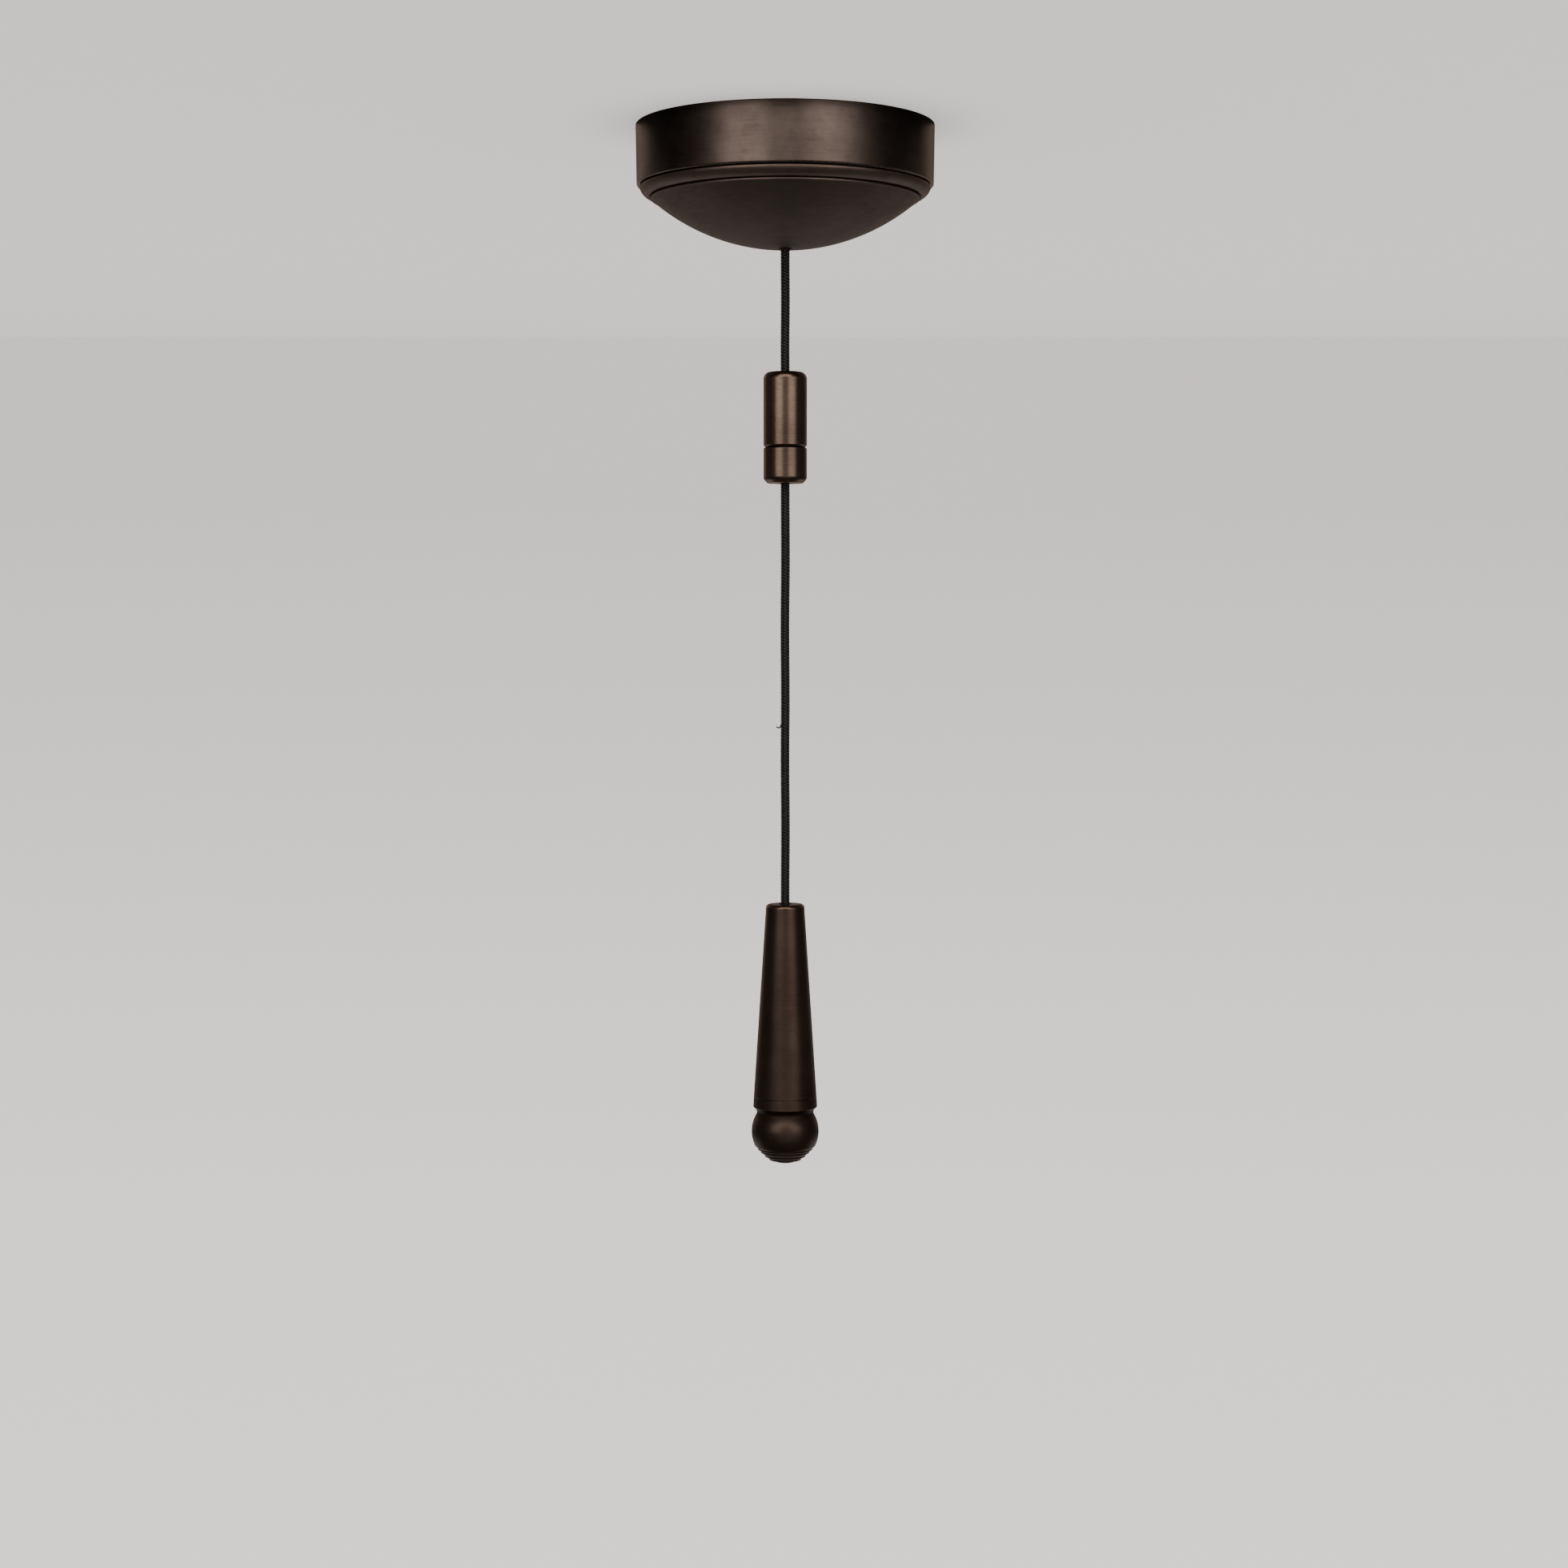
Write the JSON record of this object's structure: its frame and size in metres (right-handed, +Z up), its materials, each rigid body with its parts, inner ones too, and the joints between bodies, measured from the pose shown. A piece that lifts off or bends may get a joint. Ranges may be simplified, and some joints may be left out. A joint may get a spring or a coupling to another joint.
{
  "type": "ceiling pull cord switch",
  "caption": "Ceiling pull cord switch in oil-rubbed bronze: domed round canopy, braided cord with a screw connector, tapered handle with a ball finial.",
  "frame": {"origin": "middle of the face that lies on the ceiling", "axes": "+Z up into the ceiling, +X to the right, +Y away from someone in front"},
  "size_m": [0.1, 0.1, 0.3502],
  "materials": {
    "bronze_ring": "oil-rubbed bronze on turned steel, brushed round",
    "bronze_dome": "oil-rubbed bronze on spun steel, satin",
    "bronze_coupler": "oil-rubbed bronze on turned brass, brushed round",
    "bronze_handle": "oil-rubbed bronze on turned brass, brushed round",
    "plated_steel": "bright zinc plate",
    "black_steel": "blackened steel screw",
    "black_nylon": "moulded nylon, satin",
    "white_urea": "moulded urea, satin",
    "natural_nylon": "moulded natural nylon",
    "grey_acetal": "moulded acetal",
    "terminal_brass": "machined brass",
    "spring_bronze": "phosphor bronze strip",
    "contact_silver": "silver alloy",
    "spring_steel": "drawn spring steel",
    "black_cord": "waxed braided polyester"
  },
  "bodies": {
    "root": {"back_plate": "plated_steel", "canopy_ring": "bronze_ring", "dome_cover": "bronze_dome", "side_fixing_screws": "black_steel", "cord_exit_bush": "black_nylon", "base_moulding": "white_urea", "base_screws": "plated_steel", "mechanism_cover": "white_urea", "cover_screws": "plated_steel", "common_terminal": "terminal_brass", "switched_terminal": "terminal_brass", "loop_terminal": "terminal_brass", "terminal_screws": "plated_steel", "earth_terminal": "terminal_brass", "earth_screw": "plated_steel", "fixed_contact_rivet": "contact_silver", "ratchet_axle": "spring_steel", "detent_spring": "spring_bronze", "return_spring": "spring_steel"},
    "plunger": {"plunger": "natural_nylon", "cord_top_knot": "black_cord", "cord_in_switch": "black_cord", "pawl_pin": "spring_steel"},
    "pawl": {"pawl": "spring_steel"},
    "ratchet": {"ratchet_wheel": "grey_acetal", "switching_cam": "grey_acetal"},
    "contact": {"contact_blade": "spring_bronze", "moving_contact_rivet": "contact_silver"},
    "upper_cord": {"upper_cord": "black_cord"},
    "connector": {"coupler_upper": "bronze_coupler", "coupler_lower": "bronze_coupler", "upper_cord_knot": "black_cord", "cord_in_connector": "black_cord", "lower_cord_top_knot": "black_cord", "cord_in_connector_foot": "black_cord"},
    "lower_cord": {"lower_cord": "black_cord"},
    "cord_end": {"cord_in_handle": "black_cord", "lower_cord_knot": "black_cord"},
    "handle": {"handle_body": "bronze_handle", "handle_finial": "bronze_handle"}
  },
  "joints": [
    {"name": "pull", "type": "slide", "parent": "root", "child": "plunger", "axis": [0, 0, -1], "range_m": [0, 0.007], "stiffness_N_per_m": 1000, "springref_m": -0.006, "deforming": ["return_spring"]},
    {"name": "pawl_lift", "type": "hinge", "parent": "plunger", "child": "pawl", "pos_m": [0.0058, -0.0035, -0.009], "axis": [0, 1, 0], "range_deg": [0, 14], "stiffness_Nm_per_rad": 0.001, "springref_deg": -11.46},
    {"name": "ratchet_turn", "type": "hinge", "parent": "root", "child": "ratchet", "pos_m": [0.014, 0, -0.018], "axis": [0, -1, 0], "range_deg": [0, 60], "deforming": ["detent_spring"]},
    {"name": "contact_rock", "type": "hinge", "parent": "root", "child": "contact", "pos_m": [0.01925, 0.0008, -0.007], "axis": [0, -1, 0], "range_deg": [0, 8.2]},
    {"name": "cord_swing", "type": "hinge", "parent": "plunger", "child": "upper_cord", "pos_m": [0, 0, -0.0389], "axis": [0, 1, 0], "range_deg": [-18, 18]},
    {"name": "connector_swing", "type": "hinge", "parent": "upper_cord", "child": "connector", "pos_m": [0, 0, -0.0827], "axis": [1, 0, 0], "range_deg": [-20, 20]},
    {"name": "lower_cord_swing", "type": "hinge", "parent": "connector", "child": "lower_cord", "pos_m": [0, 0, -0.1175], "axis": [0, 1, 0], "range_deg": [-20, 20]},
    {"name": "handle_swing", "type": "hinge", "parent": "lower_cord", "child": "cord_end", "pos_m": [0, 0, -0.2621], "axis": [1, 0, 0], "range_deg": [-15, 15]},
    {"name": "handle_spin", "type": "hinge", "parent": "cord_end", "child": "handle", "pos_m": [0, 0, -0.2621], "axis": [0, 0, 1], "continuous": true}
  ],
  "couplings": [
    {"joint": "ratchet_turn", "follows": "pull", "rad_per_m": 149.6},
    {"joint": "contact_rock", "follows": "pull", "rad_per_m": 20.445}
  ]
}
